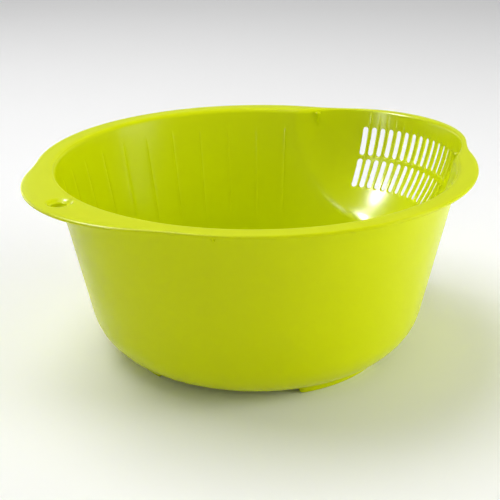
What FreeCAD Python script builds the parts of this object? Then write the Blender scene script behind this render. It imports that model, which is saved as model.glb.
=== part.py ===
"""One-piece moulded washing and straining bowl, written as one STEP file per named region.

The frame is millimetres, +Z up.  The origin is on the bowl's axis, in the plane that its
feet stand on.  +X points at the strainer bay and -X at the handle lug, and the bowl is
symmetric about the XZ plane.  The regions meet face to face and never overlap.
"""
import FreeCAD
import Part
import math
import os

# ---- driving dimensions, in millimetres and degrees ----
FOOT_HEIGHT = 2.5            # the feet lift the underside of the base by this much
RIM_HEIGHT = 122.8           # from the underside of the base to the top of the rim
RIM_RADIUS = 140.0           # outer edge of the round flange
WALL = 2.0                   # thickness of the bowl everywhere
WALL_TOP_RADIUS = 129.3      # outside of the wall, level with the top of the rim
BASE_RADIUS = 75.5           # flat part of the base
CORNER_RADIUS = 34.9         # outside round between base and wall

BAY_AXIS = 72.4              # the bay is turned about a vertical axis this far along +X
BAY_TOP_RADIUS = 81.3        # inside of the bay, level with the top of the rim
BAY_LEAN = 9.46              # lean of its short straight upper stretch
BAY_STRAIGHT = 8.7           # height of that stretch
BAY_ARC_RADIUS = 106.4       # inside arc from there down to the bowl's wall
BAY_BLEND = 12.0             # outside round where the bay runs into the bowl's wall
BAY_SPLIT = 40.5             # half angle of the bay region about the bowl's axis

LIP_AXIS = 79.5              # centre of the rim's outline round the bay
LIP_RADIUS = 79.7
LIP_FILLET = 50.0            # round between that outline and the flange's circle

LUG_AXIS = -60.0             # centre of the handle lug's outline
LUG_RADIUS = 93.8
LUG_FILLET = 70.0
LUG_SPLIT = 44.0             # half angle of the lug region about the bowl's axis

FLANGE_THICKNESS = 2.2
RIM_BAND = 7.0               # height of the rim regions, wall top included
EDGE_ROUND = 0.9             # round on the flange's outer edges
MOUTH_ROUND = 1.8            # round where the wall turns into the flange

CORNER_BAND = 38.0           # height of the corner region above the underside of the base

SLOTS_PER_ROW = 15
SLOT_PITCH = 4.77            # degrees about the bay's axis, level with the top of the rim
SLOT_FAN = 0.4               # the angles grow as the bay narrows, to this power of its radius
SLOT_ROWS = ((89.7, 110.2, 4.0), (68.0, 87.4, 3.9))   # bottom, top, width

WALL_RIB_FIRST = 42.2        # angle of the rib next to the bay, about the bowl's axis
WALL_RIB_PITCH = 10.1
WALL_RIBS_PER_SIDE = 14
WALL_RIB_WIDTH = 0.9
WALL_RIB_DEPTH = 0.4
WALL_RIB_HIGH = 108.8

BAR_RIB_WIDTH = 0.8
BAR_RIB_DEPTH = 0.5
BAR_RIB_LOW = 88.5
BAR_RIB_HIGH = 114.5

EYELET_CENTRE = -140.0
EYELET_RADIUS = 9.8
DISH_RADIUS = 8.4
DISH_DEPTH = 1.8
HOLE_RADIUS = 4.4
HOLE_LAND = 3.7              # length of the straight round hole
EYELET_SKIN = 1.8

FOOT_INNER_RADIUS = 84.0
FOOT_WIDTH = 3.6
FOOT_ARCS = {"foot_arc_bay": (0.0, 40.0), "foot_arc_left": (90.0, 40.0),
             "foot_arc_handle": (180.0, 16.0), "foot_arc_right": (270.0, 40.0)}

STACK_NIB_ANGLE = 60.2       # inside wedges, one each side, measured about the bay's axis
STACK_NIB_WIDTH = 4.4
STACK_NIB_HEIGHT = 11.5
STACK_NIB_DEPTH = 3.0
GUSSET_ANGLE = 137.5         # webs under the flange, measured about the bowl's axis
GUSSET_WIDTH = 3.0
GUSSET_HEIGHT = 7.5
GUSSET_DEPTH = 8.5

# ---- worked out from them ----
BASE = FOOT_HEIGHT
TOP = BASE + RIM_HEIGHT
RIM_LOW = TOP - RIM_BAND
CORNER_TOP = BASE + CORNER_BAND
REACH = 2.0 * RIM_RADIUS
ABOVE = 6.0                  # how far a cutting tool stands past the face it cuts
ORIGIN = FreeCAD.Vector(0, 0, 0)
UP = FreeCAD.Vector(0, 0, 1)


def point(r, z):
    """A point of a section in the XZ plane."""
    return FreeCAD.Vector(r, 0, z)


def line(a, b):
    return Part.LineSegment(a, b).toShape()


def arc_about(centre, radius, start, end):
    """A section arc about a centre point, between two angles in degrees from +X."""
    through = [point(centre.x + radius * math.cos(math.radians(a)),
                     centre.z + radius * math.sin(math.radians(a)))
               for a in (start, (start + end) / 2.0, end)]
    return Part.Arc(*through).toShape()


def turned(edges):
    """The solid that a closed section makes when it is turned about the bowl's axis."""
    face = Part.Face(Part.Wire(edges))
    return face.revolve(ORIGIN, UP, 360.0)


def wall_lean():
    """Lean of the straight wall, tangent to the corner round, in degrees."""
    across = WALL_TOP_RADIUS - BASE_RADIUS
    rise = RIM_HEIGHT - CORNER_RADIUS
    return math.degrees(math.acos(CORNER_RADIUS / math.hypot(across, rise)) - math.atan2(rise, across))


def bowl_solid(inset, high):
    """The solid inside the bowl's outer surface moved inwards by inset, up to a height."""
    centre = point(BASE_RADIUS, BASE + CORNER_RADIUS)
    radius = CORNER_RADIUS - inset
    lean = wall_lean()
    floor = BASE + inset
    start = arc_about(centre, radius, -90.0, -lean)
    bend = start.Vertexes[-1].Point
    brim = point(bend.x + (high - bend.z) * math.tan(math.radians(lean)), high)
    return turned([line(point(0, floor), point(BASE_RADIUS, floor)), start, line(bend, brim),
                   line(brim, point(0, high)), line(point(0, high), point(0, floor))])


def bay_solid(outset, high):
    """The solid inside the bay's inner surface moved outwards by outset, up to a height."""
    lean = math.radians(BAY_LEAN)
    bend_z = TOP - BAY_STRAIGHT
    bend_r = BAY_TOP_RADIUS - BAY_STRAIGHT * math.tan(lean)
    centre = point(bend_r - BAY_ARC_RADIUS * math.cos(lean), bend_z + BAY_ARC_RADIUS * math.sin(lean))
    radius = BAY_ARC_RADIUS + outset
    foot_angle = -math.degrees(math.acos(-centre.x / radius))
    arc = arc_about(centre, radius, foot_angle, -BAY_LEAN)
    foot, bend = arc.Vertexes[0].Point, arc.Vertexes[-1].Point
    brim = point(bend.x + (high - bend.z) * math.tan(lean), high)
    section = [arc, line(bend, brim), line(brim, point(0, high)), line(point(0, high), foot)]
    solid = turned(section)
    solid.translate(FreeCAD.Vector(BAY_AXIS, 0, 0))
    return solid


def bowl_with_bay(inset, high):
    """Bowl and bay as one solid, with the crease between them rounded."""
    joined = bowl_solid(inset, high).fuse(bay_solid(WALL - inset, high))
    crease = [edge for edge in joined.Edges if is_crease(edge)]
    return joined.makeFillet(BAY_BLEND + inset, crease)


def is_crease(edge):
    """True for the edge between the bowl's wall and the bay: it runs across many heights."""
    box = edge.BoundBox
    return box.ZLength > RIM_HEIGHT / 3.0 and box.YLength > BAY_TOP_RADIUS / 2.0


def pie(middle, sweep, low, high):
    """A slice of space about the bowl's axis, sweep degrees wide round a middle angle."""
    piece = Part.makeCylinder(REACH, high - low, FreeCAD.Vector(0, 0, low), UP, sweep)
    piece.rotate(ORIGIN, UP, middle - sweep / 2.0)
    return piece


def plan_point(centre_x, radius, angle):
    """A point of the rim's outline, angle in radians about (centre_x, 0)."""
    return FreeCAD.Vector(centre_x + radius * math.cos(angle), radius * math.sin(angle), 0)


def blend_centre(axis_x, radius, fillet):
    """Centre, in the +Y half, of the round that touches the rim circle and an added circle."""
    a, b = RIM_RADIUS + fillet, radius + fillet
    x = (a * a - b * b + axis_x * axis_x) / (2.0 * axis_x)
    return FreeCAD.Vector(x, math.sqrt(a * a - x * x), 0)


def outline_wire():
    """The rim's outline: circle, bay and lug, joined by four concave rounds."""
    bay_blend = blend_centre(LIP_AXIS, LIP_RADIUS, LIP_FILLET)
    lug_blend = blend_centre(LUG_AXIS, LUG_RADIUS, LUG_FILLET)
    bay_on_rim = math.atan2(bay_blend.y, bay_blend.x)
    lug_on_rim = math.atan2(lug_blend.y, lug_blend.x)
    bay_on_lip = math.atan2(bay_blend.y, bay_blend.x - LIP_AXIS)
    lug_on_lug = math.atan2(lug_blend.y, lug_blend.x - LUG_AXIS)

    def middle(blend, fillet):
        """The middle of a round, on the line that halves the angle between its two neighbours."""
        to_axis = (ORIGIN - blend).normalize()
        other = LIP_AXIS if blend.x > 0 else LUG_AXIS
        to_other = (FreeCAD.Vector(other, 0, 0) - blend).normalize()
        return blend + (to_axis + to_other).normalize() * fillet

    p_lip = plan_point(LIP_AXIS, LIP_RADIUS, bay_on_lip)
    p_rim_bay = plan_point(0, RIM_RADIUS, bay_on_rim)
    p_rim_lug = plan_point(0, RIM_RADIUS, lug_on_rim)
    p_lug = plan_point(LUG_AXIS, LUG_RADIUS, lug_on_lug)
    bay_mid, lug_mid = middle(bay_blend, LIP_FILLET), middle(lug_blend, LUG_FILLET)
    rim_mid = plan_point(0, RIM_RADIUS, (bay_on_rim + lug_on_rim) / 2.0)

    def mirrored(v):
        return FreeCAD.Vector(v.x, -v.y, v.z)

    near = [(p_lip, bay_mid, p_rim_bay), (p_rim_bay, rim_mid, p_rim_lug), (p_rim_lug, lug_mid, p_lug)]
    far = [tuple(mirrored(v) for v in reversed(piece)) for piece in reversed(near)]
    tip_lip = (mirrored(p_lip), plan_point(LIP_AXIS, LIP_RADIUS, 0.0), p_lip)
    tip_lug = (p_lug, plan_point(LUG_AXIS, LUG_RADIUS, math.pi), mirrored(p_lug))
    arcs = near + [tip_lug] + far + [tip_lip]
    return Part.Wire([Part.Arc(*piece).toShape() for piece in arcs])


def flange_plate():
    """The flat flange over the whole outline, with its outer edges rounded."""
    face = Part.Face(outline_wire())
    face.translate(FreeCAD.Vector(0, 0, TOP - FLANGE_THICKNESS))
    plate = face.extrude(FreeCAD.Vector(0, 0, FLANGE_THICKNESS))
    rims = [e for e in plate.Edges if e.BoundBox.ZLength < 1e-6]
    return plate.makeFillet(EDGE_ROUND, rims)


def bay_radius(z):
    """Inside radius of the bay at a height: its straight stretch, then its arc."""
    lean = math.radians(BAY_LEAN)
    below = TOP - z - BAY_STRAIGHT
    if below < 0:
        return BAY_TOP_RADIUS - (TOP - z) * math.tan(lean)
    sine = math.sin(lean) + below / BAY_ARC_RADIUS
    bend_r = BAY_TOP_RADIUS - BAY_STRAIGHT * math.tan(lean)
    return bend_r - BAY_ARC_RADIUS * (math.cos(lean) - math.sqrt(1.0 - sine ** 2))


def fan(z):
    """How much further round the bay a slot's line stands at a height than at the rim."""
    return (BAY_TOP_RADIUS / bay_radius(z)) ** SLOT_FAN


def fanned(solid, place, low, high):
    """Move an upright solid that faces +X to its place in a row, leaning with the fan there."""
    middle = (low + high) / 2.0
    sideways = math.radians(place * (fan(low) - fan(high))) * bay_radius(middle)
    lean = math.degrees(math.atan2(sideways, high - low))
    solid.rotate(FreeCAD.Vector(BAY_AXIS, 0, middle), FreeCAD.Vector(1, 0, 0), lean)
    solid.rotate(FreeCAD.Vector(BAY_AXIS, 0, 0), UP, place * fan(middle))
    return solid


def slot_cutter(place, low, high, width):
    """A round-ended slot, cut straight out from the bay's axis."""
    half = width / 2.0
    x0 = BAY_AXIS + BAY_TOP_RADIUS / 2.0
    block = Part.makeBox(BAY_TOP_RADIUS, width, high - low - width, FreeCAD.Vector(x0, -half, low + half))
    ends = [Part.makeCylinder(half, BAY_TOP_RADIUS, FreeCAD.Vector(x0, 0, z), FreeCAD.Vector(1, 0, 0))
            for z in (low + half, high - half)]
    return fanned(block.fuse(ends).removeSplitter(), place, low, high)


def all_slots():
    half_row = (SLOTS_PER_ROW - 1) / 2.0
    return [slot_cutter((i - half_row) * SLOT_PITCH, BASE + low, BASE + high, width)
            for low, high, width in SLOT_ROWS for i in range(SLOTS_PER_ROW)]


def slab(axis_x, width, low, high):
    """A thin upright slab that stands out along +X from a vertical axis."""
    return Part.makeBox(REACH, width, high - low, FreeCAD.Vector(axis_x, -width / 2.0, low))


def wall_ribs():
    """Low upright ribs on the inside of the wall, which keep leaves off it."""
    skin = bowl_solid(WALL, RIM_LOW).cut(bowl_solid(WALL + WALL_RIB_DEPTH, RIM_LOW + ABOVE))
    angles = [WALL_RIB_FIRST + i * WALL_RIB_PITCH for i in range(WALL_RIBS_PER_SIDE)]
    upright = slab(0.0, WALL_RIB_WIDTH, CORNER_TOP + 1.0, BASE + WALL_RIB_HIGH)
    return group([skin.common(upright.rotated(ORIGIN, UP, side * a)) for a in angles for side in (1, -1)])


def bar_ribs():
    """A fine rib on the inside of each bar between two slots of the upper row."""
    skin = bay_solid(0.0, TOP).cut(bay_solid(-BAR_RIB_DEPTH, TOP + ABOVE))
    half_row = (SLOTS_PER_ROW - 2) / 2.0
    low, high = BASE + BAR_RIB_LOW, BASE + BAR_RIB_HIGH
    return group([skin.common(fanned(slab(BAY_AXIS, BAR_RIB_WIDTH, low, high),
                                     (i - half_row) * SLOT_PITCH, low, high))
                  for i in range(SLOTS_PER_ROW - 1)])


def feet(outside):
    """Low arcs under the corner of the base, one node each."""
    ring = Part.makeCylinder(FOOT_INNER_RADIUS + FOOT_WIDTH, BASE + CORNER_RADIUS / 2.0).cut(
        Part.makeCylinder(FOOT_INNER_RADIUS, BASE + CORNER_RADIUS / 2.0)).cut(outside)
    return {name: ring.common(pie(middle, sweep, 0.0, BASE + CORNER_RADIUS / 2.0))
            for name, (middle, sweep) in FOOT_ARCS.items()}


def eyelet():
    """The dished surround of the hanging hole."""
    dish_low = TOP - DISH_DEPTH
    low = dish_low - HOLE_LAND
    under = TOP - FLANGE_THICKNESS
    corners = [(HOLE_RADIUS, low), (HOLE_RADIUS + EYELET_SKIN, low), (EYELET_RADIUS, under),
               (EYELET_RADIUS, TOP), (DISH_RADIUS, TOP), (HOLE_RADIUS, dish_low)]
    points = [point(r, z) for r, z in corners]
    edges = [line(a, b) for a, b in zip(points, points[1:] + points[:1])]
    solid = turned(edges)
    solid.translate(FreeCAD.Vector(EYELET_CENTRE, 0, 0))
    return solid


def eyelet_hole():
    return Part.makeCylinder(EYELET_RADIUS, 2 * ABOVE, FreeCAD.Vector(EYELET_CENTRE, 0, TOP - ABOVE))


def polygon_prism(corners, along):
    """A closed outline of straight sides, carried along a vector."""
    edges = [line(a, b) for a, b in zip(corners, corners[1:] + corners[:1])]
    return Part.Face(Part.Wire(edges)).extrude(along)


def nib(axis_x, angle, width, profile):
    """A small wedge on an upright wall, which narrows to a point at its foot.

    profile is its side view, as (radius about the vertical axis at axis_x, height) points.
    """
    radii, heights = zip(*profile)
    inner, outer, foot, top = min(radii), max(radii), min(heights), max(heights)
    half = width / 2.0
    side = polygon_prism([FreeCAD.Vector(r, -half, z) for r, z in profile], FreeCAD.Vector(0, width, 0))
    front = polygon_prism([FreeCAD.Vector(inner, -half, top), FreeCAD.Vector(inner, half, top),
                           FreeCAD.Vector(inner, 0, foot)], FreeCAD.Vector(outer - inner, 0, 0))
    solid = side.common(front)
    solid.translate(FreeCAD.Vector(axis_x, 0, 0))
    solid.rotate(FreeCAD.Vector(axis_x, 0, 0), UP, angle)
    return solid


def stacking_nibs(inside):
    """Wedges inside the mouth, one each side of the bay, that stop stacked bowls jamming."""
    top = TOP - MOUTH_ROUND
    foot = top - STACK_NIB_HEIGHT
    foot_radius = bay_radius(foot)
    behind = BAY_TOP_RADIUS + WALL
    profile = [(BAY_TOP_RADIUS - STACK_NIB_DEPTH, top), (behind, top), (behind, foot), (foot_radius, foot)]
    return group([nib(BAY_AXIS, side * STACK_NIB_ANGLE, STACK_NIB_WIDTH, profile).common(inside)
                  for side in (1, -1)])


def flange_gussets(outside):
    """Webs between the flange's underside and the wall, one each side of the handle lug."""
    under = TOP - FLANGE_THICKNESS
    profile = [(WALL_TOP_RADIUS - WALL, under), (WALL_TOP_RADIUS + GUSSET_DEPTH, under),
               (WALL_TOP_RADIUS - WALL, under - GUSSET_HEIGHT)]
    return group([nib(0.0, side * GUSSET_ANGLE, GUSSET_WIDTH, profile).cut(outside) for side in (1, -1)])


def group(shapes):
    return Part.makeCompound([solid for shape in shapes for solid in shape.Solids])


def round_mouth(shell, inside):
    """Round the edge where the inside of the wall and bay meets the top of the flange."""
    skin = inside.Shells[0]
    flat = [e for e in shell.Edges if e.BoundBox.ZLength < 1e-6 and abs(e.BoundBox.ZMax - TOP) < 1e-6]
    mouth = [e for e in flat if skin.distToShape(Part.Vertex(middle_of(e)))[0] < 1e-3]
    return shell.makeFillet(MOUTH_ROUND, mouth)


def middle_of(edge):
    return edge.valueAt((edge.FirstParameter + edge.LastParameter) / 2.0)


def largest(shape):
    """The main solid of a cut, as one clean solid."""
    return max(shape.Solids, key=lambda solid: solid.Volume)


def build():
    """Every node's shape by name."""
    outside = bowl_with_bay(0.0, TOP)
    inside = bowl_with_bay(WALL, TOP + ABOVE)
    shell = round_mouth(outside.fuse(flange_plate()).cut(inside), inside)

    base_disc = Part.makeCylinder(BASE_RADIUS, BASE + 2 * WALL)
    corner_slice = pie(0.0, 360.0, 0.0, CORNER_TOP)
    bay_slice = pie(0.0, 2 * BAY_SPLIT, CORNER_TOP, RIM_LOW)
    wall_slice = pie(180.0, 360.0 - 2 * BAY_SPLIT, CORNER_TOP, RIM_LOW)
    side_sweep = 180.0 - BAY_SPLIT - LUG_SPLIT
    side_middle = BAY_SPLIT + side_sweep / 2.0
    rim_slices = {"pouring_lip": (0.0, 2 * BAY_SPLIT), "rim_flange_left": (side_middle, side_sweep),
                  "handle_lug": (180.0, 2 * LUG_SPLIT), "rim_flange_right": (-side_middle, side_sweep)}

    nodes = {"bowl_base": largest(shell.common(base_disc)),
             "base_corner": largest(shell.common(corner_slice).cut(base_disc)),
             "bowl_wall": largest(shell.common(wall_slice))}
    panel = largest(shell.common(bay_slice))
    nodes["strainer_bay"] = panel.cut(all_slots())
    for name, (middle, sweep) in rim_slices.items():
        nodes[name] = largest(shell.common(pie(middle, sweep, RIM_LOW, TOP + ABOVE)))
    nodes["handle_lug"] = nodes["handle_lug"].cut(eyelet_hole())
    nodes["hanging_eyelet"] = eyelet()
    nodes["wall_ribs"] = wall_ribs()
    nodes["bar_ribs"] = bar_ribs()
    nodes.update(feet(outside))

    nodes["stacking_nibs"] = stacking_nibs(inside)
    nodes["flange_gussets"] = flange_gussets(outside)
    return nodes


def main():
    os.makedirs("parts", exist_ok=True)
    for name, shape in build().items():
        box = shape.BoundBox
        print(f"{name:18s} valid={shape.isValid()} solids={len(shape.Solids)} volume={shape.Volume:9.1f}"
              f"  x {box.XMin:7.1f} {box.XMax:7.1f}  y {box.YMin:7.1f} {box.YMax:7.1f}"
              f"  z {box.ZMin:6.1f} {box.ZMax:6.1f}")
        shape.exportStep(f"parts/{name}.step")


main()
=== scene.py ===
"""Looks of a one-piece moulded washing and straining bowl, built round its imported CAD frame.

The whole moulding is one continuous surface worked out from formulas: a bowl turned about the
Z axis, a bay turned about a second upright axis, a smooth blend between the two, a flange whose
outline joins three circles, and two kinds of opening, slots and a hanging hole, let into it.
Lengths are millimetres until a mesh is made, and +X points at the strainer bay.
"""
import logging
import math
from dataclasses import dataclass, field
from enum import Enum
from typing import Any

import bmesh
import bpy
import numpy as np
from mathutils import Euler, Matrix, Vector


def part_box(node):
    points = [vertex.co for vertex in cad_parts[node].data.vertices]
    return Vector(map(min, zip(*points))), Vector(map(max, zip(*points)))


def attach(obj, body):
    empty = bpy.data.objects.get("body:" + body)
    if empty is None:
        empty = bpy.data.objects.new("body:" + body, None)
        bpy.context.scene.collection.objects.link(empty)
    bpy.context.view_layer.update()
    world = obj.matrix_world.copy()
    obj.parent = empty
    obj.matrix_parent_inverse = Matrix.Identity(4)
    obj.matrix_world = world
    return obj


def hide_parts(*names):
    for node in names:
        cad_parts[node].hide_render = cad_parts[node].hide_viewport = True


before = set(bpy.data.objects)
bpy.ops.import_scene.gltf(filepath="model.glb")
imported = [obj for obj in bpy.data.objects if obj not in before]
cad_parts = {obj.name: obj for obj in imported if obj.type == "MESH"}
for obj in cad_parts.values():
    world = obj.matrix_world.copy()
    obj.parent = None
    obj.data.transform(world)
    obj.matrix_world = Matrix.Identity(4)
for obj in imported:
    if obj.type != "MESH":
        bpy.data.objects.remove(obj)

LOG = logging.getLogger("washing_bowl")
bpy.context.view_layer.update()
ROOT = "root"
MM = 0.001
Array = np.ndarray


# ---------------------------------------------------------------- formulas shared by the surfaces

def smooth_max(a: Array, b: Array, blend: float) -> Array:
    """The larger of a and b, with the corner where they cross rounded off.

    Where they differ by less than blend, blend * h * h / 4 is added, h being one minus that
    difference over blend.

    Args:
        a: First values.
        b: Second values.
        blend: Half width of the rounded band, measured as a difference of the two values.

    Returns:
        The blended values.
    """
    closeness = np.clip(1.0 - np.abs(a - b) / blend, 0.0, None)
    return np.maximum(a, b) + blend * closeness ** 2 / 4.0


def smooth_step(low: float, high: float, x: Array) -> Array:
    """Zero up to low, one from high, and an S curve, 3t^2 - 2t^3, between them."""
    t = np.clip((x - low) / (high - low), 0.0, 1.0)
    return t * t * (3.0 - 2.0 * t)


def ray_to_circle(centre_x: float, radius: Array, theta: Array) -> Array:
    """Distance from the bowl's axis, along direction theta, to a circle about (centre_x, 0).

    It is c cos(theta) + sqrt(r^2 - c^2 sin^2(theta)), and zero where the ray misses the circle.

    Args:
        centre_x: Where the circle's centre lies on the X axis.
        radius: The circle's radius.
        theta: Direction about the bowl's axis, in radians.

    Returns:
        The distances.
    """
    inside = radius ** 2 - (centre_x * np.sin(theta)) ** 2
    far = centre_x * np.cos(theta) + np.sqrt(np.clip(inside, 0.0, None))
    return np.where(inside > 0.0, far, 0.0)


def arc_between(start: Array, corner: Array, end: Array, steps: int, weight: Array) -> Array:
    """A circular round from start to end that would meet at corner, as a rational quadratic curve.

    Args:
        start: Where the round begins, any shape whose last axis is (radius, height).
        corner: Where the two sides would meet.
        end: Where it ends.
        steps: Number of points, both ends included.
        weight: Cosine of half the turn, which makes the curve a true arc.

    Returns:
        The points, with the steps as a new first axis.
    """
    s = np.linspace(0.0, 1.0, steps).reshape((-1,) + (1,) * start.ndim)
    w = np.asarray(weight)[..., None] if np.ndim(weight) else weight
    top = (1 - s) ** 2 * start + 2 * w * s * (1 - s) * corner + s ** 2 * end
    return top / ((1 - s) ** 2 + 2 * w * s * (1 - s) + s ** 2)


# ---------------------------------------------------------------- the form of the bowl

@dataclass(frozen=True)
class BowlForm:
    """Every surface of the moulding as a formula of direction and height, in millimetres."""

    top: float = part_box("rim_flange_left")[1][2] / MM
    bay_tip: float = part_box("pouring_lip")[1][0] / MM
    lug_tip: float = -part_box("handle_lug")[0][0] / MM
    rim_radius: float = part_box("rim_flange_left")[1][1] / MM
    base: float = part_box("bowl_base")[0][2] / MM
    base_radius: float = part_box("bowl_base")[1][0] / MM
    wall: float = 2.0
    wall_top_radius: float = 129.3
    corner_radius: float = 34.9
    bay_axis: float = 72.4
    bay_top_radius: float = 81.3
    bay_lean: float = math.radians(9.46)
    bay_straight: float = 8.7
    bay_arc: float = 106.4
    bay_blend: float = 4.5
    lip_radius: float = 79.7
    lip_blend: float = 7.0
    lug_radius: float = 93.8
    lug_blend: float = 4.5

    @property
    def corner_centre(self) -> tuple[float, float]:
        """Centre of the round between base and wall, as (radius, height)."""
        return self.base_radius, self.base + self.corner_radius

    @property
    def lean(self) -> float:
        """Lean of the straight wall, tangent to the corner round, in radians."""
        across = self.wall_top_radius - self.base_radius
        rise = self.top - self.corner_centre[1]
        return math.acos(self.corner_radius / math.hypot(across, rise)) - math.atan2(rise, across)

    def wall_start(self, inset: float) -> float:
        """Height where the corner round turns into the straight wall."""
        return self.corner_centre[1] - (self.corner_radius - inset) * math.sin(self.lean)

    def bowl_radius(self, z: Array, inset: float) -> Array:
        """Radius of the round wall at height z, inset inwards from the outer surface."""
        centre_r, _ = self.corner_centre
        start = self.wall_start(inset)
        bend_r = centre_r + (self.corner_radius - inset) * math.cos(self.lean)
        return bend_r + (z - start) * math.tan(self.lean)

    def bay_radius(self, z: Array, outset: float) -> Array:
        """Radius of the bay about its own axis, outset outwards from its inner surface.

        It is a straight lean at the top and a circular arc below.
        """
        bend_z = self.top - self.bay_straight
        bend_r = self.bay_top_radius - self.bay_straight * math.tan(self.bay_lean)
        centre_r = bend_r - self.bay_arc * math.cos(self.bay_lean)
        centre_z = bend_z + self.bay_arc * math.sin(self.bay_lean)
        radius = self.bay_arc + outset
        bend = centre_z - radius * math.sin(self.bay_lean)
        straight = centre_r + radius * math.cos(self.bay_lean) + (z - bend) * math.tan(self.bay_lean)
        arc = centre_r + np.sqrt(np.clip(radius ** 2 - (z - centre_z) ** 2, 0.0, None))
        return np.clip(np.where(z > bend, straight, arc), 0.0, None)

    def wall_radius(self, theta: Array, z: Array, outset: float) -> Array:
        """Distance of the wall from the bowl's axis: the round wall blended with the bay."""
        bowl = self.bowl_radius(z, self.wall - outset)
        bay = ray_to_circle(self.bay_axis, self.bay_radius(z, outset), theta)
        return smooth_max(bowl, bay, self.bay_blend)

    def outline(self, theta: Array) -> Array:
        """The rim's outline: the flange's circle blended with the lip's and the lug's circles."""
        lip = ray_to_circle(self.bay_tip - self.lip_radius, self.lip_radius, theta)
        lug = ray_to_circle(self.lug_radius - self.lug_tip, self.lug_radius, theta)
        round_rim = np.full_like(theta, self.rim_radius)
        return smooth_max(smooth_max(round_rim, lip, self.lip_blend), lug, self.lug_blend)

    def bay_direction(self, beta: Array, z: Array, outset: float) -> Array:
        """Direction about the bowl's axis of the bay's point at angle beta about its own axis."""
        rho = self.bay_radius(z, outset)
        return np.arctan2(rho * np.sin(beta), self.bay_axis + rho * np.cos(beta))


FORM = BowlForm()


# ---------------------------------------------------------------- small mouldings on the wall

@dataclass(frozen=True)
class SlotField:
    """Two rows of round-ended slots about the bay's axis, which fan out towards their feet.

    A slot's place is its angle level with the rim: fan(z) times that is its angle lower down.
    """

    count: int = 15
    pitch: float = math.radians(4.77)
    fan_power: float = 0.4
    rows: tuple[tuple[float, float, float], ...] = ((70.5, 89.9, 3.9), (92.2, 112.7, 4.0))
    margin_low: float = 2.2
    margin_high: float = 1.9
    edge_round: float = 0.35
    across: tuple[float, ...] = (0.0, 0.06, 0.14, 0.3, 0.5, 0.7, 0.86, 0.94, 1.0)
    side_steps: int = 10
    rib_half_width: float = 0.6
    rib_depth: float = 0.5
    rib_fade: tuple[float, float, float, float] = (90.5, 93.0, 114.0, 117.0)

    @property
    def half_angle(self) -> float:
        """Angle from the middle of the bay to the edge of the slotted panel."""
        return self.count * self.pitch / 2.0

    @property
    def levels(self) -> tuple[float, float, float]:
        """Heights of the panel's lower edge, the bar between the rows, and its upper edge."""
        (low, middle_low, _), (middle_high, high, _) = self.rows
        return low - self.margin_low, (middle_low + middle_high) / 2.0, high + self.margin_high

    def heights(self) -> Array:
        """Every height at which the panel meets the rest of the wall, from the bottom up."""
        low, middle, high = self.levels
        return np.unique(np.r_[np.linspace(low, middle, self.side_steps + 1),
                               np.linspace(middle, high, self.side_steps + 1)])

    def fan(self, z: Array) -> Array:
        """The bay's radius at the rim over its radius at z, raised to a power."""
        return (FORM.bay_radius(np.array(FORM.top), 0.0) / FORM.bay_radius(z, 0.0)) ** self.fan_power

    def rib(self, place: Array, z: Array) -> Array:
        """How far the fine rib on each upper bar stands in from the wall."""
        first, last = -(self.count - 1) / 2.0, (self.count - 3) / 2.0
        bars = np.clip(np.round(place / self.pitch - 0.5), first, last) + 0.5
        away = np.abs(place - bars * self.pitch) * self.fan(z) * FORM.bay_radius(z, 0.0)
        rise, full, fall, end = self.rib_fade
        upright = smooth_step(rise, full, z) * (1.0 - smooth_step(fall, end, z))
        return self.rib_depth * (1.0 - smooth_step(0.1, self.rib_half_width, away)) * upright


@dataclass(frozen=True)
class WallRibs:
    """Low upright ribs round the inside of the wall, which keep leaves off it."""

    first: float = math.radians(42.2)
    pitch: float = math.radians(10.1)
    per_side: int = 14
    half_width: float = 0.62
    depth: float = 0.28
    fade: tuple[float, float, float, float] = (42.0, 52.0, 110.0, 112.2)
    offsets: tuple[float, ...] = (0.15, 0.42, 0.8)

    def angles(self) -> Array:
        """Directions of the ribs on the +Y side."""
        return self.first + self.pitch * np.arange(self.per_side)

    def height(self, theta: Array, z: Array) -> Array:
        """How far the ribs stand in from the wall."""
        place = (np.abs(theta) - self.first) / self.pitch
        nearest = np.clip(np.round(place), 0, self.per_side - 1)
        away = np.abs(place - nearest) * self.pitch * FORM.bowl_radius(z, FORM.wall)
        rise, full, fall, end = self.fade
        upright = smooth_step(rise, full, z) * (1.0 - smooth_step(fall, end, z))
        return self.depth * (1.0 - smooth_step(0.1, self.half_width, away)) * upright


SLOTS = SlotField()
RIBS = WallRibs()


def inner_radius(theta: Array, place: Array, z: Array) -> Array:
    """Distance of the inner surface from the bowl's axis, both kinds of rib included."""
    return FORM.wall_radius(theta, z, 0.0) - RIBS.height(theta, z) - SLOTS.rib(place, z)


# ---------------------------------------------------------------- meshes

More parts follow.
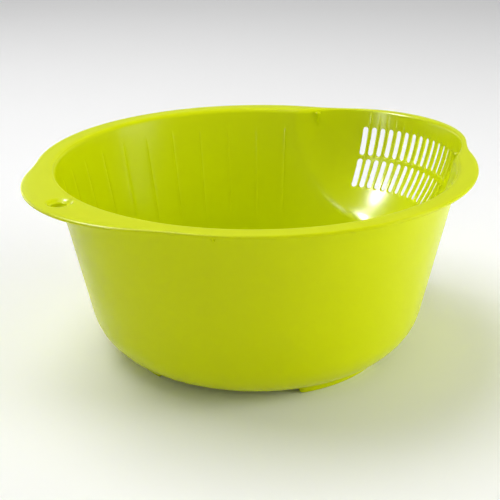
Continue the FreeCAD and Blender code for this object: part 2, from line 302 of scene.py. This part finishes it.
class MeshBuilder:
    """Collects grids of points and joins them into one closed mesh."""

    def __init__(self, name: str) -> None:
        """Starts an empty mesh for a piece of this name."""
        self.name = name
        self.points: list[Array] = []
        self.quads: list[Array] = []
        self.count = 0

    def add_grid(self, points: Array, wrap: bool, keep: Array | None = None) -> None:
        """Adds a grid of quads.

        Args:
            points: Rows by columns by three, in millimetres.
            wrap: Whether the last column joins the first.
            keep: Which quads to keep, as rows - 1 by columns.
        """
        rows, columns = points.shape[:2]
        index = np.arange(rows * columns).reshape(rows, columns) + self.count
        right = np.roll(index, -1, axis=1) if wrap else index[:, 1:]
        left = index if wrap else index[:, :-1]
        quads = np.stack([left[:-1], right[:-1], right[1:], left[1:]], axis=-1)
        self.quads.append(quads[keep] if keep is not None else quads.reshape(-1, 4))
        self.points.append(points.reshape(-1, 3))
        self.count += rows * columns

    def finish(self, weld: float = 0.002) -> bpy.types.Object:
        """Makes the object: welds the grids, closes them and shades them smooth.

        Args:
            weld: Distance under which points are one, in millimetres.

        Returns:
            The object, at the origin.
        """
        points = np.concatenate(self.points) * MM
        quads = np.concatenate(self.quads)
        mesh = bpy.data.meshes.new(self.name)
        mesh.from_pydata(points.tolist(), [], quads.tolist())
        work = bmesh.new()
        work.from_mesh(mesh)
        bmesh.ops.remove_doubles(work, verts=work.verts, dist=weld * MM)
        loose = [v for v in work.verts if not v.link_faces]
        bmesh.ops.delete(work, geom=loose, context="VERTS")
        holes = [e for e in work.edges if len(e.link_faces) == 1]
        if holes:
            bmesh.ops.holes_fill(work, edges=holes, sides=0)
        bmesh.ops.recalc_face_normals(work, faces=work.faces)
        work.to_mesh(mesh)
        work.free()
        mesh.shade_smooth()
        mesh.update()
        piece = bpy.data.objects.new(self.name, mesh)
        bpy.context.scene.collection.objects.link(piece)
        LOG.info("%s: %d faces, %d edges were open", self.name, len(mesh.polygons), len(holes))
        return piece


def polar_points(theta: Array, radius: Array, z: Array) -> Array:
    """Points from direction, radius and height, broadcast together."""
    theta, radius, z = np.broadcast_arrays(theta, radius, z)
    return np.stack([radius * np.cos(theta), radius * np.sin(theta), z], axis=-1)


# ---------------------------------------------------------------- the shell

@dataclass(frozen=True)
class RimSection:
    """How the wall turns into the flange and ends, in millimetres."""

    thickness: float = 2.2
    mouth_round: float = 4.0
    mouth_share: float = 0.42
    edge_round: float = 0.9
    under_round: float = 1.6


@dataclass(frozen=True)
class Eyelet:
    """The dished hanging hole in the middle of the handle lug."""

    centre_x: float = -140.0
    plate_radius: float = 9.4
    dish_radius: float = 8.4
    dish_depth: float = 1.8
    hole_radius: float = 4.4
    lip: float = 0.45
    depth: float = 5.5
    boss_radius: float = 6.0
    half_angle: float = math.radians(4.7)
    across_steps: int = 16

    def profile(self, thickness: float) -> list[tuple[float, float]]:
        """The dish, the hole and the boss under it, as (radius, depth) from the top inwards.

        The dish falls as half a cosine wave, and the hole's upper and lower edges are rounds.
        """
        run = np.linspace(1.0, 0.0, 9)
        radii = self.hole_radius + self.lip + (self.dish_radius - self.hole_radius - self.lip) * run
        falls = self.dish_depth * 0.5 * (1.0 + np.cos(np.pi * run))
        dish = list(zip(radii, falls))
        turn = np.radians([30.0, 60.0, 90.0])
        rounds = [(self.hole_radius + self.lip * (1 - math.sin(t)), self.lip * (1 - math.cos(t))) for t in turn]
        upper = [(radius, self.dish_depth + fall) for radius, fall in rounds]
        lower = [(radius, self.depth - fall) for radius, fall in reversed(rounds)]
        under = [(self.hole_radius + self.lip, self.depth), (self.boss_radius, self.depth),
                 (self.boss_radius + 0.7, self.depth - 0.25), (self.plate_radius - 0.6, thickness + 0.05),
                 (self.plate_radius, thickness)]
        return dish + upper + lower + under


@dataclass
class Shell:
    """The whole moulded wall: floor, corner, wall, bay, flange, lip and lug, as one closed surface."""

    rim: RimSection = field(default_factory=RimSection)
    eyelet: Eyelet = field(default_factory=Eyelet)
    turn_steps: int = 34
    gap_steps: int = 7
    corner_steps: int = 10
    replaced: tuple[str, ...] = ("bowl_base", "base_corner", "bowl_wall", "strainer_bay", "pouring_lip",
                                 "rim_flange_left", "rim_flange_right", "handle_lug", "hanging_eyelet",
                                 "wall_ribs", "bar_ribs")

    def columns(self) -> tuple[Array, Array, Array]:
        """The upright lines of the grid, as (beta, share, fixed) arrays.

        A column's direction is the bay's direction at beta, mixed by share with a fixed direction:
        share is 0 over the slotted panel, rises to 1 where the bay turns into the round wall, and
        stays 1 past the first rib, where the columns crowd round each rib.
        """
        pitch_lines = (np.arange(SLOTS.count)[:, None] + np.array(SLOTS.across[:-1])) * SLOTS.pitch
        panel = np.r_[pitch_lines.ravel() - SLOTS.half_angle, SLOTS.half_angle]
        share = np.linspace(0.0, 1.0, self.turn_steps + 1)[1:]
        start = RIBS.angles()[0] - self.rib_offsets()[-1]
        ring = self.ring_angles(start)
        side_beta = np.full(share.size + ring.size, SLOTS.half_angle)
        side_share = np.r_[share, np.ones(ring.size)]
        side_fixed = np.r_[np.full(share.size, start), ring]
        beta = np.r_[panel, side_beta, [SLOTS.half_angle], -side_beta[::-1]]
        share_all = np.r_[np.zeros(panel.size), side_share, [1.0], side_share[::-1]]
        fixed = np.r_[np.zeros(panel.size), side_fixed, [np.pi], -side_fixed[::-1]]
        return beta, share_all, fixed

    @staticmethod
    def rib_offsets() -> Array:
        """Angles from a rib's middle to the columns beside it, from the middle outwards."""
        return np.array(RIBS.offsets) / (FORM.bowl_radius(np.array(80.0), FORM.wall))

    def ring_angles(self, start: float) -> Array:
        """Directions of the columns on the +Y side from just past start up to half a turn."""
        offsets = self.rib_offsets()
        crowd = np.r_[-offsets[::-1], 0.0, offsets]
        ribs = (RIBS.angles()[:, None] + crowd).ravel()
        clear = np.linspace(0.0, 1.0, self.gap_steps + 2)[1:-1]
        gap_low = RIBS.angles()[:-1, None] + offsets[-1]
        gap_high = RIBS.angles()[1:, None] - offsets[-1]
        gaps = (gap_low + (gap_high - gap_low) * clear).ravel()
        last = RIBS.angles()[-1] + offsets[-1]
        patch = np.pi - self.eyelet.half_angle
        near = np.linspace(last, patch, 3)[1:]
        inside = np.linspace(patch, np.pi, self.eyelet.across_steps // 2 + 1)[1:-1]
        every = np.sort(np.r_[ribs, gaps, near, inside])
        return every[every > start + 1e-9]

    def directions(self, z: Array, outset: float) -> Array:
        """Direction of every column at each height, rows by columns."""
        beta, share, fixed = self.columns()
        held = np.clip(z, SLOTS.levels[0], None)
        return (1.0 - share) * FORM.bay_direction(beta * SLOTS.fan(held), held, outset) + share * fixed

    def wall_rows(self, z: Array, inner: bool) -> Array:
        """The wall's inner or outer surface at heights z, given as rows by one or by columns."""
        outset = 0.0 if inner else FORM.wall
        theta = self.directions(z, outset)
        beta = self.columns()[0]
        radius = inner_radius(theta, beta, z) if inner else FORM.wall_radius(theta, z, outset)
        return polar_points(theta, radius, z)

    def floor_rows(self, inner: bool) -> Array:
        """Base and corner, from the middle outwards: a flat disc, then a quarter-round arc."""
        inset = FORM.wall if inner else 0.0
        centre_r, centre_z = FORM.corner_centre
        radius = FORM.corner_radius - inset
        angle = np.linspace(-np.pi / 2.0, -FORM.lean, self.corner_steps)
        flat = np.array([0.0, 0.2, 0.45, 0.7, 0.88]) * centre_r
        r = np.r_[flat, centre_r + radius * np.cos(angle)][:, None]
        z = np.r_[np.full(flat.size, centre_z - radius), centre_z + radius * np.sin(angle)][:, None]
        return polar_points(self.directions(z, 0.0 if inner else FORM.wall), r, z)

    def wall_heights(self, inner: bool) -> Array:
        """Heights of the wall's rows, from the corner to above the slotted panel."""
        low, _, high = SLOTS.levels
        start = FORM.wall_start(FORM.wall if inner else 0.0)
        below = np.r_[start, np.linspace(start, low, 10)[2:-1]]
        return np.r_[below, SLOTS.heights(), high + 1.6]

    def rim_rows(self) -> tuple[list[Array], list[str]]:
        """The rows from the top of the inner wall over the flange to the top of the outer wall.

        Returns:
            The rows as blocks, and each block's name.
        """
        top = np.full((1, self.columns()[0].size), FORM.top)
        theta = self.directions(top, 0.0)
        beta = self.columns()[0]
        wall_in = inner_radius(theta, beta, top)
        edge = FORM.outline(theta)
        lean = np.arctan2(wall_in - inner_radius(theta, beta, top - 4.0), 4.0)
        turn = (np.pi / 2.0 - lean) / 2.0
        mouth = np.minimum(self.rim.mouth_round, self.rim.mouth_share * (edge - wall_in))
        reach = mouth * np.tan(turn)
        start_z = FORM.top - reach * np.cos(lean)
        start_r = wall_in - reach * np.sin(lean)

        def at(r: Array, z: Array) -> Array:
            return np.stack(np.broadcast_arrays(r, z), axis=-1)[0]

        mouth_arc = arc_between(at(start_r, start_z), at(wall_in, FORM.top), at(wall_in + reach, FORM.top),
                                6, np.cos(turn)[0])
        edge_round, under = self.rim.edge_round, FORM.top - self.rim.thickness
        share = np.linspace(0.0, 1.0, 5)[1:-1, None]
        flat_r = wall_in + reach + (edge - edge_round - wall_in - reach) * share
        over = arc_between(at(edge - edge_round, FORM.top), at(edge, FORM.top),
                           at(edge, FORM.top - edge_round), 4, math.sqrt(0.5))
        back = arc_between(at(edge, under + edge_round), at(edge, under), at(edge - edge_round, under),
                           4, math.sqrt(0.5))
        bend = self.rim.under_round
        wall_out = FORM.wall_radius(theta, np.full_like(top, under), FORM.wall)
        below = FORM.wall_radius(theta, np.full_like(top, under - bend), FORM.wall)
        under_r = edge - edge_round + (wall_out + bend - edge + edge_round) * share
        corner = arc_between(at(wall_out + bend, under), at(wall_out, under), at(below, under - bend),
                             4, 0.75)
        blocks = [mouth_arc, at3(flat_r, FORM.top), over, back, at3(under_r, under), corner]
        return [polar_points(theta[0], b[..., 0], b[..., 1]) for b in blocks], [
            "mouth", "flange_top", "over", "back", "under", "corner"]

    def build(self) -> bpy.types.Object:
        """Builds the closed shell with its slots and its hanging hole."""
        maker = MeshBuilder("moulded_bowl")
        heights_in, heights_out = self.wall_heights(True), self.wall_heights(False)
        floor_in, floor_out = self.floor_rows(True), self.floor_rows(False)
        wall_in = self.wall_rows(heights_in[1:, None], True)
        wall_out = self.wall_rows(heights_out[1:, None], False)
        rim_blocks, rim_names = self.rim_rows()
        blocks = [floor_in, wall_in] + rim_blocks + [wall_out[::-1], floor_out[::-1]]
        names = ["floor_in", "wall_in"] + rim_names + ["wall_out", "floor_out"]
        first = dict(zip(names, np.cumsum([0] + [b.shape[0] for b in blocks[:-1]])))
        grid = np.concatenate(blocks)
        keep = np.ones((grid.shape[0] - 1, grid.shape[1]), dtype=bool)
        panel_columns = slice(0, SLOTS.count * (len(SLOTS.across) - 1))
        panel_rows = SLOTS.heights().size - 1
        low_in = first["wall_in"] + int(np.searchsorted(heights_in[1:], SLOTS.levels[0] - 1e-6))
        keep[low_in:low_in + panel_rows, panel_columns] = False
        high_out = first["wall_out"] + int(np.sum(heights_out[1:] > SLOTS.levels[2] + 1e-6))
        keep[high_out:high_out + panel_rows, panel_columns] = False
        middle = grid.shape[1] // 2 + panel_columns.stop // 2
        half = self.eyelet.across_steps // 2
        patch_columns = slice(middle - half, middle + half)
        loops = []
        for name, rows in (("flange_top", 4), ("under", 4)):
            start = first[name] - 1
            keep[start:start + rows, patch_columns] = False
            loops.append(self.patch_loop(grid, start, rows, patch_columns))
        maker.add_grid(grid, True, keep)
        maker.add_grid(self.eyelet_rings(*loops), True)
        for index in range(SLOTS.count):
            for row in range(len(SLOTS.rows)):
                maker.add_grid(self.slot_rings(index, row), True)
        piece = maker.finish()
        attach(piece, ROOT)
        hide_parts(*self.replaced)
        return piece

    @staticmethod
    def patch_loop(grid: Array, start: int, rows: int, columns: slice) -> Array:
        """The closed loop of grid points round a rectangular patch."""
        block = grid[start:start + rows + 1, columns.start:columns.stop + 1]
        return np.concatenate([block[0, :-1], block[:-1, -1], block[-1, :0:-1], block[:0:-1, 0]])

    def eyelet_rings(self, top_loop: Array, under_loop: Array) -> Array:
        """Rings from the patch in the flange's top, through the dish and hole, to the one beneath."""
        centre = np.array([self.eyelet.centre_x, 0.0])

        def circle_over(loop: Array, radius: float, z: float) -> Array:
            away = loop[:, :2] - centre
            unit = away / np.linalg.norm(away, axis=1, keepdims=True)
            return np.column_stack([centre + unit * radius, np.full(len(loop), z)])

        under_loop = self.matched(top_loop, under_loop)
        plate = self.eyelet.plate_radius
        start = circle_over(top_loop, plate, FORM.top)
        end_z = FORM.top - self.rim.thickness
        rings = [top_loop, (top_loop + start) / 2.0, start]
        profile = self.eyelet.profile(self.rim.thickness)
        for step, (radius, depth) in enumerate(profile):
            share = step / (len(profile) - 1)
            around = top_loop * (1.0 - share) + under_loop * share
            rings.append(circle_over(around, radius, FORM.top - depth))
        end = circle_over(under_loop, plate, end_z)
        rings += [(under_loop + end) / 2.0, under_loop]
        return np.stack(rings)

    @staticmethod
    def matched(loop: Array, other: Array) -> Array:
        """The other loop, read the same way round and from the same corner as the first."""
        options = [np.roll(o, -k, axis=0) for o in (other, other[::-1]) for k in range(len(other))]
        return min(options, key=lambda o: float(np.abs(o[:, :2] - loop[:, :2]).sum()))

    def slot_rings(self, index: int, row: int) -> Array:
        """Rings from a slot's cell on the inner wall, through the slot, to its cell on the outer wall.

        Each ring has the same points: across the top, down a side, across the foot, and up.  On the
        wall a ring is a mix of the cell's rectangle and the slot's outline, and inside the slot it
        is the outline, drawn in by the rounds at both its edges.
        """
        low, high, width = SLOTS.rows[row]
        floor_z, bar_z, roof_z = SLOTS.levels
        cell_low, cell_high = (floor_z, bar_z) if row == 0 else (bar_z, roof_z)
        middle = (index + 0.5) * SLOTS.pitch - SLOTS.half_angle
        half = width / 2.0
        across = np.array(SLOTS.across)
        down = np.linspace(0.0, 1.0, SLOTS.side_steps + 1)
        flat = np.ones(SLOTS.side_steps)
        cell_x = np.r_[across[:-1], flat, across[:0:-1], 0 * flat] - 0.5
        side = cell_high + (cell_low - cell_high) * down
        cell_z = np.r_[np.full(across.size - 1, cell_high), side[:-1],
                       np.full(across.size - 1, cell_low), side[:0:-1]]
        turn = np.linspace(np.pi, 0.0, across.size)
        straight = (high - half) + (low - high + width) * down
        normal = np.column_stack([
            np.r_[np.cos(turn[:-1]), flat, np.cos(turn[:0:-1]), -flat],
            np.r_[np.sin(turn[:-1]), 0 * flat, -np.sin(turn[:0:-1]), 0 * flat]])
        heart = np.r_[np.full(across.size - 1, high - half), straight[:-1],
                      np.full(across.size - 1, low + half), straight[:0:-1]]

        def outline(grow: float) -> tuple[Array, Array]:
            return normal[:, 0] * (half + grow), heart + normal[:, 1] * (half + grow)

        def on_wall(share: float, inner: bool) -> Array:
            outset = 0.0 if inner else FORM.wall
            x, z_slot = outline(SLOTS.edge_round)
            z = (1.0 - share) * z_slot + share * cell_z
            fan = SLOTS.fan(z)
            slot_part = (1.0 - share) * x / FORM.bay_radius(z, outset) / fan
            place = middle + slot_part + share * cell_x * SLOTS.pitch
            theta = FORM.bay_direction(place * fan, z, outset)
            radius = inner_radius(theta, place, z) if inner else FORM.wall_radius(theta, z, outset)
            return polar_points(theta, radius, z)

        def inside(grow: float, depth: float, from_inner: bool) -> Array:
            x, z = outline(grow)
            rho_in, rho_out = FORM.bay_radius(z, 0.0), FORM.bay_radius(z, FORM.wall)
            rho = rho_in + depth if from_inner else rho_out - depth
            beta = middle * SLOTS.fan(z) + x / rho
            return np.stack([FORM.bay_axis + rho * np.cos(beta), rho * np.sin(beta), z], axis=-1)

        shares = (1.0, 0.82, 0.64, 0.46, 0.28, 0.12, 0.0)
        turns = np.radians([30.0, 60.0, 90.0])
        edge = SLOTS.edge_round
        rounds = [(edge * (1.0 - math.sin(t)), edge * (1.0 - math.cos(t))) for t in turns]
        rings = [on_wall(s, True) for s in shares]
        rings += [inside(grow, depth, True) for grow, depth in rounds]
        rings += [inside(grow, depth, False) for grow, depth in reversed(rounds)]
        rings += [on_wall(s, False) for s in (0.0, 0.3, 0.65, 1.0)]
        return np.stack(rings)


def at3(radius: Array, z: float) -> Array:
    """Radius and one height as (radius, height) pairs."""
    return np.stack([radius, np.full_like(radius, z)], axis=-1)


# ---------------------------------------------------------------- small solid pieces

class Side(Enum):
    """Which face of the wall a wedge stands on."""

    INSIDE = -1.0
    OUTSIDE = 1.0


@dataclass
class Wedges:
    """A mirrored pair of wedges on the wall, each narrowing to a point at its foot."""

    name: str
    node: str
    axis_x: float
    angle: float
    width: float
    height: float
    depth: float
    top: float
    side: Side
    buried: float = 1.0

    def wall_at(self, z: Array) -> Array:
        """Radius of the wall that the wedge stands on, about the wedge's own axis."""
        if self.side is Side.INSIDE:
            return FORM.bay_radius(z, 0.0)
        return FORM.bowl_radius(z, 0.0)

    def rings(self, sign: float) -> Array:
        """One wedge as closed rings from its top to its foot.

        A ring is a rounded box, a sine and a cosine each raised to 0.6: its front stands depth
        off the wall and its back is buried in it.  Width and depth both fall to nothing.
        """
        drop = np.r_[0.0, 0.0, np.linspace(0.02, 1.0, 12)][:, None]
        size = np.r_[0.0, 0.85, np.ones(12)][:, None]
        turn = np.linspace(0.0, 2.0 * np.pi, 28, endpoint=False)[None, :]
        c, s = np.cos(turn), np.sin(turn)
        z = self.top - drop * self.height
        taper = size * np.clip(1.0 - drop, 0.0, 1.0) ** 0.8
        y = self.width / 2.0 * taper * np.sign(c) * np.abs(c) ** 0.6
        front = self.depth * size * (1.0 - drop) * np.clip(s, 0.0, None) ** 0.6
        back = self.buried * size * np.clip(-s, 0.0, None) ** 0.6
        x = self.wall_at(z) + self.side.value * (front - back)
        angle = sign * self.angle
        return np.stack([self.axis_x + x * math.cos(angle) - y * math.sin(angle),
                         x * math.sin(angle) + y * math.cos(angle), np.broadcast_to(z, x.shape)], axis=-1)

    def build(self) -> bpy.types.Object:
        """Builds the pair as one piece."""
        maker = MeshBuilder(self.name)
        for sign in (1.0, -1.0):
            maker.add_grid(self.rings(sign), True)
        piece = maker.finish()
        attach(piece, ROOT)
        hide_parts(self.node)
        return piece


@dataclass
class FootArc:
    """One of the low arcs that the bowl stands on."""

    node: str
    radius: float = 85.8
    half_width: float = 1.8
    height: float = 4.9

    def span(self) -> tuple[float, float]:
        """Middle direction of the arc and half its angle, from the CAD node's box."""
        low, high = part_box(self.node)
        middle = math.atan2(low[1] + high[1], low[0] + high[0])
        along = abs(high[1] - low[1]) if abs(math.cos(middle)) > 0.7 else abs(high[0] - low[0])
        outer = self.radius + self.half_width
        return middle, math.asin(min(1.0, along / MM / 2.0 / outer))

    def build(self) -> bpy.types.Object:
        """Carries a rounded box section along the arc, drawn in to a point at each end."""
        middle, half = self.span()
        s = np.sin(np.linspace(-np.pi / 2.0, np.pi / 2.0, 49))[:, None]
        size = np.sqrt(np.clip(1.0 - np.abs(s) ** 26, 0.0, 1.0))
        turn = np.linspace(0.0, 2.0 * np.pi, 28, endpoint=False)[None, :]
        c, d = np.cos(turn), np.sin(turn)
        radius = self.radius + size * self.half_width * np.sign(c) * np.abs(c) ** 0.5
        z = self.height / 2.0 * (1.0 + size * np.sign(d) * np.abs(d) ** 0.5)
        maker = MeshBuilder(self.node + "_pad")
        maker.add_grid(polar_points(middle + s * half, radius, z), True)
        piece = maker.finish()
        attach(piece, ROOT)
        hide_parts(self.node)
        return piece


# ---------------------------------------------------------------- finishes

class Shade:
    """A shader socket with arithmetic: an expression on it adds its Math nodes."""

    def __init__(self, kit: "NodeKit", socket: bpy.types.NodeSocket) -> None:
        self.kit = kit
        self.socket = socket

    def _math(self, operation: str, a: Any, b: Any) -> "Shade":
        """A Math node on two values or shades."""
        return self.kit.node("ShaderNodeMath", {"operation": operation}, {0: a, 1: b})

    def __add__(self, other: Any) -> "Shade":
        """self + other."""
        return self._math("ADD", self, other)

    def __mul__(self, other: Any) -> "Shade":
        """self * other."""
        return self._math("MULTIPLY", self, other)

    def __radd__(self, other: Any) -> "Shade":
        """other + self."""
        return self._math("ADD", other, self)

    def __rmul__(self, other: Any) -> "Shade":
        """other * self."""
        return self._math("MULTIPLY", other, self)


class NodeKit:
    """Makes the nodes of one material."""

    def __init__(self, material: bpy.types.Material) -> None:
        """Starts from an empty node tree."""
        material.use_nodes = True
        self.tree = material.node_tree
        self.tree.nodes.clear()

    def node(self, kind: str, settings: dict[str, Any], inputs: dict[Any, Any], output: Any = 0) -> Shade:
        """Adds a node.

        Args:
            kind: The node's type.
            settings: Attributes set before the sockets, such as an operation.
            inputs: Values or shades by socket name or number.
            output: Which output to return.

        Returns:
            The output as a shade.
        """
        made = self.tree.nodes.new(kind)
        for key, value in settings.items():
            setattr(made, key, value)
        for key, value in inputs.items():
            if isinstance(value, Shade):
                self.tree.links.new(value.socket, made.inputs[key])
            else:
                made.inputs[key].default_value = value
        return Shade(self, made.outputs[output])

    def output(self, shader: Shade) -> None:
        """Links the shader to the material's output."""
        end = self.tree.nodes.new("ShaderNodeOutputMaterial")
        self.tree.links.new(shader.socket, end.inputs["Surface"])


@dataclass(frozen=True)
class GlossyPlastic:
    """Smooth moulded polypropylene, lime coloured, faintly cloudy and a little translucent."""

    name: str = "lime_polypropylene"
    clear_tone: tuple[float, float, float, float] = (0.66, 0.735, 0.0, 1.0)
    deep_tone: tuple[float, float, float, float] = (0.63, 0.71, 0.0, 1.0)
    gloss: float = 0.2
    satin: float = 0.34
    specular: float = 0.1
    subsurface: float = 0.12
    ripple: float = 0.035
    rim_fade: float = 1.2

    def build(self) -> bpy.types.Material:
        """Builds the material: cloudy colour, satin drift in the gloss and a faint mould ripple."""
        material = bpy.data.materials.new(self.name)
        kit = NodeKit(material)
        place = kit.node("ShaderNodeTexCoord", {}, {}, "Object")
        cloud = kit.node("ShaderNodeTexNoise", {}, {"Vector": place, "Scale": 14.0, "Detail": 3.0}, "Fac")
        colour = kit.node("ShaderNodeMix", {"data_type": "RGBA"},
                          {"Factor": cloud, "A": self.deep_tone, "B": self.clear_tone}, "Result")
        drift = kit.node("ShaderNodeTexNoise", {}, {"Vector": place, "Scale": 55.0, "Detail": 4.0}, "Fac")
        height = kit.node("ShaderNodeSeparateXYZ", {}, {"Vector": place}, "Z")
        rim = kit.node("ShaderNodeMapRange", {"interpolation_type": "SMOOTHSTEP"},
                       {"Value": height, "From Min": (FORM.top - self.rim_fade) * MM,
                        "From Max": (FORM.top - 0.1) * MM})
        rough = self.gloss + drift * 0.05 + rim * (self.satin - self.gloss)
        grain = kit.node("ShaderNodeTexNoise", {}, {"Vector": place, "Scale": 420.0, "Detail": 2.0}, "Fac")
        flow = kit.node("ShaderNodeTexNoise", {}, {"Vector": place, "Scale": 26.0, "Detail": 2.0}, "Fac")
        relief = grain * 0.25 + flow
        bump = kit.node("ShaderNodeBump", {}, {"Height": relief, "Strength": self.ripple, "Distance": 0.0012})
        shader = kit.node("ShaderNodeBsdfPrincipled", {"subsurface_method": "BURLEY"}, {
            "Base Color": colour, "Roughness": rough, "Normal": bump, "IOR": 1.49,
            "Specular IOR Level": self.specular, "Subsurface Weight": self.subsurface,
            "Subsurface Radius": (1.0, 1.0, 0.15), "Subsurface Scale": 0.004})
        kit.output(shader)
        return material


# ---------------------------------------------------------------- studio

@dataclass(frozen=True)
class SoftBox:
    """A rectangular studio light aimed at the bowl."""

    name: str
    azimuth: float
    elevation: float
    distance: float
    size: tuple[float, float]
    power: float
    only_gloss: bool = False

    def build(self, target: Vector) -> None:
        """Places the light on a sphere round the target, facing it."""
        light = bpy.data.lights.new(self.name, "AREA")
        light.shape = "RECTANGLE"
        light.size, light.size_y = self.size
        light.energy = self.power
        lamp = bpy.data.objects.new(self.name, light)
        a, e = math.radians(self.azimuth), math.radians(self.elevation)
        away = Vector((math.cos(e) * math.cos(a), math.cos(e) * math.sin(a), math.sin(e)))
        lamp.location = target + away * self.distance
        lamp.rotation_euler = away.to_track_quat("Z", "Y").to_euler()
        lamp.visible_diffuse = not self.only_gloss
        bpy.context.scene.collection.objects.link(lamp)


@dataclass
class Studio:
    """Pale floor, soft lights and the camera."""

    yaw: float = math.radians(-36.97)
    pitch: float = math.radians(-21.98)
    roll: float = math.radians(-0.5)
    eye: tuple[float, float, float] = (-0.3803, -0.4982, 0.3143)
    lens: float = 73.22
    floor_tone: tuple[float, float, float, float] = (0.95, 0.95, 0.95, 1.0)
    sky: float = 0.36
    boxes: tuple[SoftBox, ...] = (
        SoftBox("top_box", 120.0, 68.0, 1.7, (1.2, 1.2), 20.0),
        SoftBox("right_box", -46.0, 14.0, 1.3, (0.6, 0.8), 9.5),
        SoftBox("left_strip", 184.0, 12.0, 1.1, (0.12, 0.9), 17.0, True),
        SoftBox("bay_box", 152.0, 52.0, 1.1, (0.2, 0.26), 70.0, True),
        SoftBox("back_box", 100.0, 3.0, 1.3, (1.2, 0.5), 10.0, True),
    )

    def build(self) -> None:
        """Builds floor, sky, lights and camera."""
        self.floor()
        self.world()
        middle = Vector((0.0, 0.0, 0.06))
        for box in self.boxes:
            box.build(middle)
        self.camera()

    def floor(self) -> None:
        """A large pale floor at the height that the feet stand on."""
        span = np.linspace(-6.0, 6.0, 3)
        x, y = np.meshgrid(span, span)
        points = np.stack([x, y, np.zeros_like(x)], axis=-1).reshape(-1, 3)
        index = np.arange(9).reshape(3, 3)
        quads = np.stack([index[:-1, :-1], index[:-1, 1:], index[1:, 1:], index[1:, :-1]], axis=-1)
        mesh = bpy.data.meshes.new("studio_floor")
        mesh.from_pydata(points.tolist(), [], quads.reshape(-1, 4).tolist())
        floor = bpy.data.objects.new("studio_floor", mesh)
        bpy.context.scene.collection.objects.link(floor)
        material = bpy.data.materials.new("pale_floor")
        kit = NodeKit(material)
        shader = kit.node("ShaderNodeBsdfPrincipled", {}, {
            "Base Color": self.floor_tone, "Roughness": 1.0, "Specular IOR Level": 0.0})
        kit.output(shader)
        mesh.materials.append(material)

    def world(self) -> None:
        """An even pale sky."""
        world = bpy.data.worlds.new("studio_sky")
        world.use_nodes = True
        backdrop = world.node_tree.nodes["Background"]
        backdrop.inputs["Color"].default_value = (1.0, 1.0, 1.0, 1.0)
        backdrop.inputs["Strength"].default_value = self.sky
        bpy.context.scene.world = world
        bpy.context.scene.view_settings.view_transform = "Standard"

    def camera(self) -> None:
        """The camera, turned by yaw about Z, then tipped by pitch, then rolled about its own axis."""
        data = bpy.data.cameras.new("studio_camera")
        data.lens = self.lens
        data.sensor_width = 36.0
        camera = bpy.data.objects.new("studio_camera", data)
        aimed = Euler((math.pi / 2.0 + self.pitch, 0.0, self.yaw)).to_matrix()
        turn = aimed @ Matrix.Rotation(self.roll, 3, "Z")
        camera.location = self.eye
        camera.rotation_euler = turn.to_euler()
        bpy.context.scene.collection.objects.link(camera)
        bpy.context.scene.camera = camera


# ---------------------------------------------------------------- the whole object

def main() -> None:
    """Builds every piece, dresses it, and sets up the studio."""
    logging.basicConfig(level=logging.INFO, format="%(name)s: %(message)s")
    plastic = GlossyPlastic().build()
    pieces = [Shell().build()]
    nibs = Wedges(name="stacking_nib_pair", node="stacking_nibs", axis_x=FORM.bay_axis,
                  angle=math.radians(60.2), width=4.4, height=11.5, depth=3.0,
                  top=FORM.top - 1.8, side=Side.INSIDE)
    gussets = Wedges(name="flange_gusset_pair", node="flange_gussets", axis_x=0.0,
                     angle=math.radians(137.5), width=3.0, height=7.5, depth=8.5,
                     top=FORM.top - 2.0, side=Side.OUTSIDE)
    pieces += [nibs.build(), gussets.build()]
    pieces += [FootArc(node).build() for node in sorted(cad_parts) if node.startswith("foot_arc")]
    for piece in pieces:
        piece.data.materials.append(plastic)
        LOG.info("%s dressed in %s", piece.name, plastic.name)
    Studio().build()


if __name__ == "__main__":
    main()
